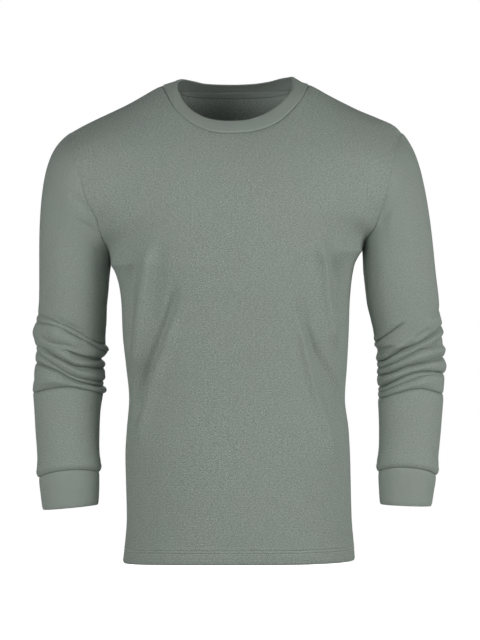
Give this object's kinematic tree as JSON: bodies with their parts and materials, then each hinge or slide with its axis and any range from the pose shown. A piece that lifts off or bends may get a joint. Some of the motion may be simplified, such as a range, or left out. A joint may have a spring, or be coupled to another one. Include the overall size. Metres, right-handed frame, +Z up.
{
  "type": "thermal top",
  "caption": "Long-sleeved crew-neck thermal top in waffle knit, filled out as worn: neckband, two panels, two sleeves with ribbed cuffs and a turned-up hem, open at neck, cuffs and hem.",
  "frame": {"origin": "between the shoulders at the foot of the neck, where the wearer's shoulders hold the garment up", "axes": "+Z up along the wearer's spine, +Y from the garment's front to its back, +X from the wearer's right to the wearer's left"},
  "size_m": [0.609, 0.2389, 0.7203],
  "materials": {
    "cloth": "matt waffle knit",
    "rib": "matt fine rib",
    "tape": "matt tape"
  },
  "bodies": {
    "root": {"front_panel": "cloth", "back_panel": "cloth", "right_sleeve": "cloth", "left_sleeve": "cloth", "neckband": "rib", "right_cuff": "rib", "left_cuff": "rib", "neck_tape": "tape"}
  },
  "joints": []
}
